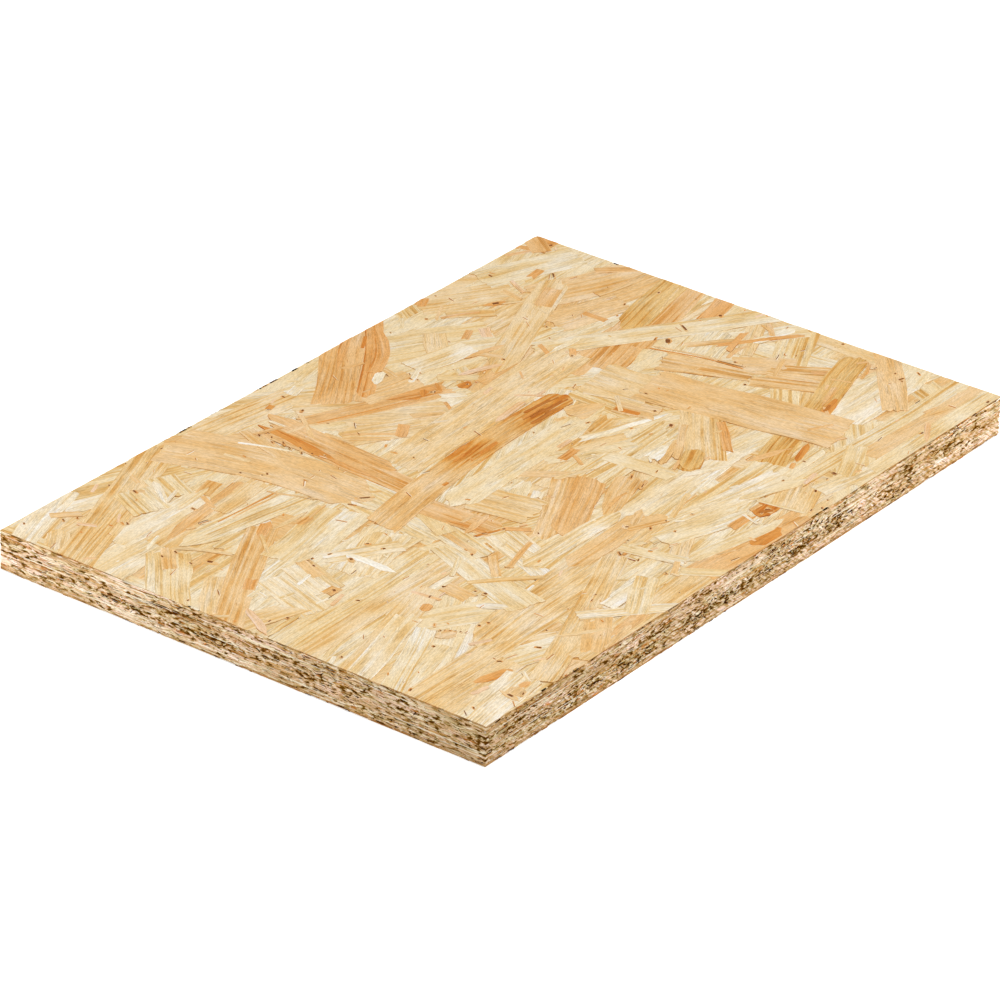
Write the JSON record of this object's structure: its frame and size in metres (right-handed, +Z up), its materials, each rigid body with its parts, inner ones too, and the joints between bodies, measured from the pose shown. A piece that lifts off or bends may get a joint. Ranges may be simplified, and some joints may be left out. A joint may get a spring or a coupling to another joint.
{
  "type": "osb panel",
  "caption": "Flat rectangular oriented strand board panel with square sawn sides that show lens-shaped voids between its pressed wood strands.",
  "frame": {"origin": "centre of the underside", "axes": "+X along the length, the way the face strands mostly run, +Y across the width, +Z up out of the top face"},
  "size_m": [0.35, 0.24, 0.018],
  "materials": {
    "pressed_strands": "hot-pressed wood strands, matt to faintly waxy, with square sawn sides"
  },
  "bodies": {
    "root": {"osb_panel": "pressed_strands"}
  },
  "joints": []
}
